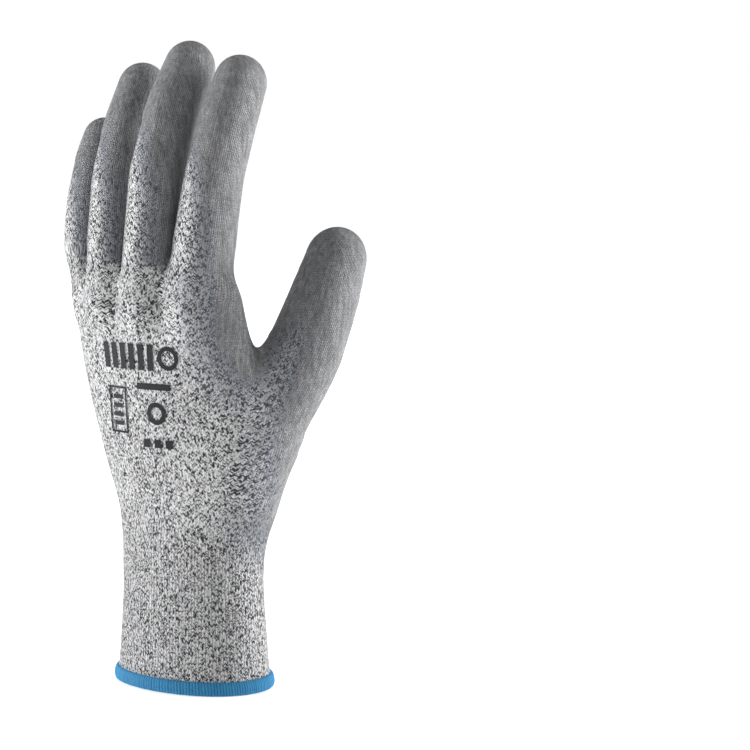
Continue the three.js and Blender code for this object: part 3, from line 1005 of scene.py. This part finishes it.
# From the top down: upright bars beside a ring, a frame with level bars in it, and to its
# side a line, a ring and three squares.
marks = [bar(-23 + 4.6 * i, 123.5, -23 + 4.6 * i + 2.7, 133.5) for i in range(6)]
marks += [hoop(9.4, 128.5, 4.6, 2.9)]
marks += frame_of(-22, 98.5, -12, 116.5, 0.8)
marks += [bar(-19.6, 101.5 + 3.4 * i, -14.4, 103.1 + 3.4 * i) for i in range(4)]
marks += [bar(-6, 116.2, 10, 118.6)]
marks += [hoop(3, 107.2, 4.3, 2.5)]
marks += [bar(-4 + 5.2 * i, 94.0, -4 + 5.2 * i + 3.2, 97.2) for i in range(3)]
marks_piece = printed("printed_marks", marks)
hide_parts("back_print")


# ---------------------------------------------------------------- studio

def floor():
    """A wide pale floor with a painted glow that brightens outwards, as on a lit table."""
    turns = np.linspace(0, 2 * np.pi, 64, endpoint=False)
    reaches = np.array([0.0005, 0.1, 0.2, 0.4, 0.8, 1.5, 3, 6, 12])
    angle, radius = np.meshgrid(turns, reaches, indexing="ij")
    points = np.stack([radius * np.cos(angle), radius * np.sin(angle), 0 * radius], -1)
    faces = grid_faces(len(turns), len(reaches), True)[:, ::-1]
    made = mesh_object("floor", points.reshape(-1, 3) / MM, faces)
    n = Nodes("floor")
    n.shader.inputs["Base Color"].default_value = (0.93, 0.93, 0.93, 1)
    n.shader.inputs["Roughness"].default_value = 0.9
    n.shader.inputs["Specular IOR Level"].default_value = 0.0
    where = n.add("ShaderNodeTexCoord").outputs["Object"]
    far = n.add("ShaderNodeVectorMath", {0: where}, operation="LENGTH").outputs["Value"]
    n.shader.inputs["Emission Color"].default_value = (1, 1, 1, 1)
    # Painted glow: the floor emits light, faintly under the glove and fully further out.
    n.link(n.ramp(far, 0.1, 1.0, FLOOR_GLOW, 1.0), "Emission Strength")
    made.data.materials.append(n.material)
    return made


def soft_light(name, azimuth, elevation, distance, size, watts, aim=(0, 0, 0.13)):
    """A square light that looks at a place on the glove from an azimuth and elevation."""
    light = bpy.data.lights.new(name, "AREA")
    light.shape, light.size, light.energy = "SQUARE", size, watts
    made = bpy.data.objects.new(name, light)
    az, el = np.radians(azimuth), np.radians(elevation)
    way = Vector((np.sin(az) * np.cos(el), -np.cos(az) * np.cos(el), np.sin(el)))
    made.location = Vector(aim) + way * distance
    made.rotation_euler = (-way).to_track_quat("-Z", "Y").to_euler()
    bpy.context.scene.collection.objects.link(made)


floor()
soft_light("left_soft", AZIMUTH - 97, 6, 1.0, 0.6, 16.5)
soft_light("right_soft", AZIMUTH + 102, 10, 1.0, 0.6, 17.5)
soft_light("front_soft", AZIMUTH - 30, 42, 1.6, 0.9, 0.3)
soft_light("top_soft", AZIMUTH + 180, 80, 1.9, 2.4, 26, (0, 0, 0.0))


def studio_world():
    """A world that is white near the horizon and below it, and dim above."""
    world = bpy.data.worlds.new("studio")
    bpy.context.scene.world = world
    world.use_nodes = True
    tree = world.node_tree
    way = tree.nodes.new("ShaderNodeTexCoord")
    parts = tree.nodes.new("ShaderNodeSeparateXYZ")
    band = tree.nodes.new("ShaderNodeMapRange")
    tree.links.new(way.outputs["Generated"], parts.inputs[0])
    tree.links.new(parts.outputs[2], band.inputs["Value"])
    ends = (("From Min", 0.12), ("From Max", 0.22), ("To Min", 1.0), ("To Max", 0.03))
    for key, value in ends:
        band.inputs[key].default_value = value
    tree.links.new(band.outputs["Result"], tree.nodes["Background"].inputs[1])
    tree.nodes["Background"].inputs[0].default_value = (1, 1, 1, 1)


def photo_camera():
    """A long lens that looks at the middle of the picture."""
    camera = bpy.data.cameras.new("camera")
    camera.sensor_width = 36
    camera.lens = 124.7
    made = bpy.data.objects.new("camera", camera)
    look = Vector(unit(LOOK))
    made.location = Vector(MIDDLE) * MM + look * (CAMERA_AWAY * MM)
    made.rotation_euler = (-look).to_track_quat("-Z", "Y").to_euler()
    bpy.context.scene.collection.objects.link(made)
    bpy.context.scene.camera = made


studio_world()
photo_camera()
bpy.context.scene.view_settings.view_transform = "Standard"
